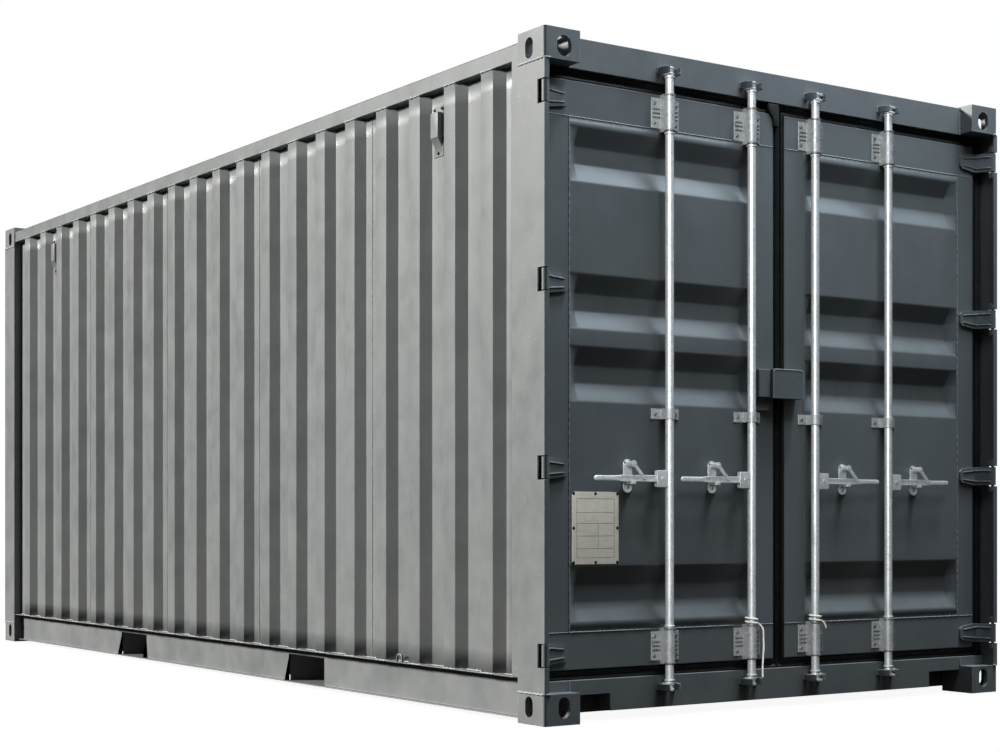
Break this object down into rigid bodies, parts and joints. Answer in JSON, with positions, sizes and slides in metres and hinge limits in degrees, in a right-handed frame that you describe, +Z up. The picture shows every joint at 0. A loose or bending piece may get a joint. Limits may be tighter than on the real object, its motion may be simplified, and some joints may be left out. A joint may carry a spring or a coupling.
{
  "type": "shipping container",
  "caption": "Steel freight container with corrugated walls, hinged double doors, lock bars, forklift pockets and corner castings; doors, bars, handles and catches move.",
  "frame": {"origin": "on the ground at the middle of the footprint", "axes": "+Z up, +Y along the length from the doors to the closed end, +X across to the right door"},
  "size_m": [2.438, 6.058, 2.591],
  "materials": {
    "frame_paint": "semi-gloss grey paint",
    "wall_paint": "semi-gloss grey paint",
    "door_paint": "semi-gloss grey paint",
    "casting_paint": "semi-gloss grey paint",
    "galvanised": "hot-dip galvanised steel",
    "seal_rubber": "matt black rubber",
    "plywood": "sealed plywood",
    "data_metal": "plain metal sheet",
    "rope_fibre": "twisted light rope"
  },
  "bodies": {
    "root": {"castings_door_bottom": "casting_paint", "castings_door_top": "casting_paint", "castings_closed_bottom": "casting_paint", "castings_closed_top": "casting_paint", "door_header": "frame_paint", "door_sill": "frame_paint", "door_post_left": "frame_paint", "door_post_right": "frame_paint", "closed_post_left": "frame_paint", "closed_post_right": "frame_paint", "closed_end_header": "frame_paint", "closed_end_sill": "frame_paint", "top_rail_left": "frame_paint", "top_rail_right": "frame_paint", "bottom_rail_left": "frame_paint", "bottom_rail_right": "frame_paint", "side_wall_left": "wall_paint", "side_wall_right": "wall_paint", "end_wall": "wall_paint", "roof": "wall_paint", "floor_boards": "plywood", "cross_members": "frame_paint", "forklift_pocket_sides": "frame_paint", "forklift_pocket_plates": "frame_paint", "vents": "frame_paint", "cam_keepers": "frame_paint", "tie_back_hooks": "frame_paint"},
    "left_door": {"left_door_frame": "door_paint", "left_door_panel": "door_paint", "left_door_seal": "seal_rubber", "left_door_hinges": "door_paint", "left_door_brackets": "galvanised", "left_door_retainers": "galvanised", "left_lock_box": "door_paint", "left_rope": "rope_fibre", "data_plate": "data_metal"},
    "left_outer_bar": {"left_outer_bar": "galvanised"},
    "left_outer_handle": {"left_outer_handle": "galvanised"},
    "left_outer_catch": {"left_outer_catch": "galvanised"},
    "left_inner_bar": {"left_inner_bar": "galvanised"},
    "left_inner_handle": {"left_inner_handle": "galvanised"},
    "left_inner_catch": {"left_inner_catch": "galvanised"},
    "right_door": {"right_door_frame": "door_paint", "right_door_panel": "door_paint", "right_door_seal": "seal_rubber", "right_door_hinges": "door_paint", "right_door_brackets": "galvanised", "right_door_retainers": "galvanised", "right_lock_box": "door_paint", "right_rope": "rope_fibre"},
    "right_outer_bar": {"right_outer_bar": "galvanised"},
    "right_outer_handle": {"right_outer_handle": "galvanised"},
    "right_outer_catch": {"right_outer_catch": "galvanised"},
    "right_inner_bar": {"right_inner_bar": "galvanised"},
    "right_inner_handle": {"right_inner_handle": "galvanised"},
    "right_inner_catch": {"right_inner_catch": "galvanised"}
  },
  "joints": [
    {"name": "left_door_hinge", "type": "hinge", "parent": "root", "child": "left_door", "pos_m": [-1.205, -3.015, 1.3], "axis": [0, 0, -1], "range_deg": [0, 270]},
    {"name": "left_outer_bar_turn", "type": "hinge", "parent": "left_door", "child": "left_outer_bar", "pos_m": [-0.594, -2.98, 1.3], "axis": [0, 0, -1], "range_deg": [-110, 0]},
    {"name": "left_outer_handle_lift", "type": "hinge", "parent": "left_outer_bar", "child": "left_outer_handle", "pos_m": [-0.634, -2.98, 0.924], "axis": [0, -1, 0], "range_deg": [-5, 0]},
    {"name": "left_outer_catch_swing", "type": "hinge", "parent": "left_door", "child": "left_outer_catch", "pos_m": [-0.776, -2.99, 0.98], "axis": [0, 1, 0], "range_deg": [-95, 0]},
    {"name": "left_inner_bar_turn", "type": "hinge", "parent": "left_door", "child": "left_inner_bar", "pos_m": [-0.173, -2.98, 1.3], "axis": [0, 0, -1], "range_deg": [-110, 0]},
    {"name": "left_inner_handle_lift", "type": "hinge", "parent": "left_inner_bar", "child": "left_inner_handle", "pos_m": [-0.213, -2.98, 0.924], "axis": [0, -1, 0], "range_deg": [-5, 0]},
    {"name": "left_inner_catch_swing", "type": "hinge", "parent": "left_door", "child": "left_inner_catch", "pos_m": [-0.355, -2.99, 0.98], "axis": [0, 1, 0], "range_deg": [-95, 0]},
    {"name": "right_door_hinge", "type": "hinge", "parent": "root", "child": "right_door", "pos_m": [1.205, -3.015, 1.3], "axis": [0, 0, 1], "range_deg": [0, 270]},
    {"name": "right_outer_bar_turn", "type": "hinge", "parent": "right_door", "child": "right_outer_bar", "pos_m": [0.594, -2.98, 1.3], "axis": [0, 0, 1], "range_deg": [-110, 0]},
    {"name": "right_outer_handle_lift", "type": "hinge", "parent": "right_outer_bar", "child": "right_outer_handle", "pos_m": [0.634, -2.98, 0.924], "axis": [0, 1, 0], "range_deg": [-5, 0]},
    {"name": "right_outer_catch_swing", "type": "hinge", "parent": "right_door", "child": "right_outer_catch", "pos_m": [0.776, -2.99, 0.98], "axis": [0, 1, 0], "range_deg": [-95, 0]},
    {"name": "right_inner_bar_turn", "type": "hinge", "parent": "right_door", "child": "right_inner_bar", "pos_m": [0.173, -2.98, 1.3], "axis": [0, 0, 1], "range_deg": [-110, 0]},
    {"name": "right_inner_handle_lift", "type": "hinge", "parent": "right_inner_bar", "child": "right_inner_handle", "pos_m": [0.213, -2.98, 0.924], "axis": [0, 1, 0], "range_deg": [-5, 0]},
    {"name": "right_inner_catch_swing", "type": "hinge", "parent": "right_door", "child": "right_inner_catch", "pos_m": [0.355, -2.99, 0.98], "axis": [0, 1, 0], "range_deg": [-95, 0]}
  ]
}
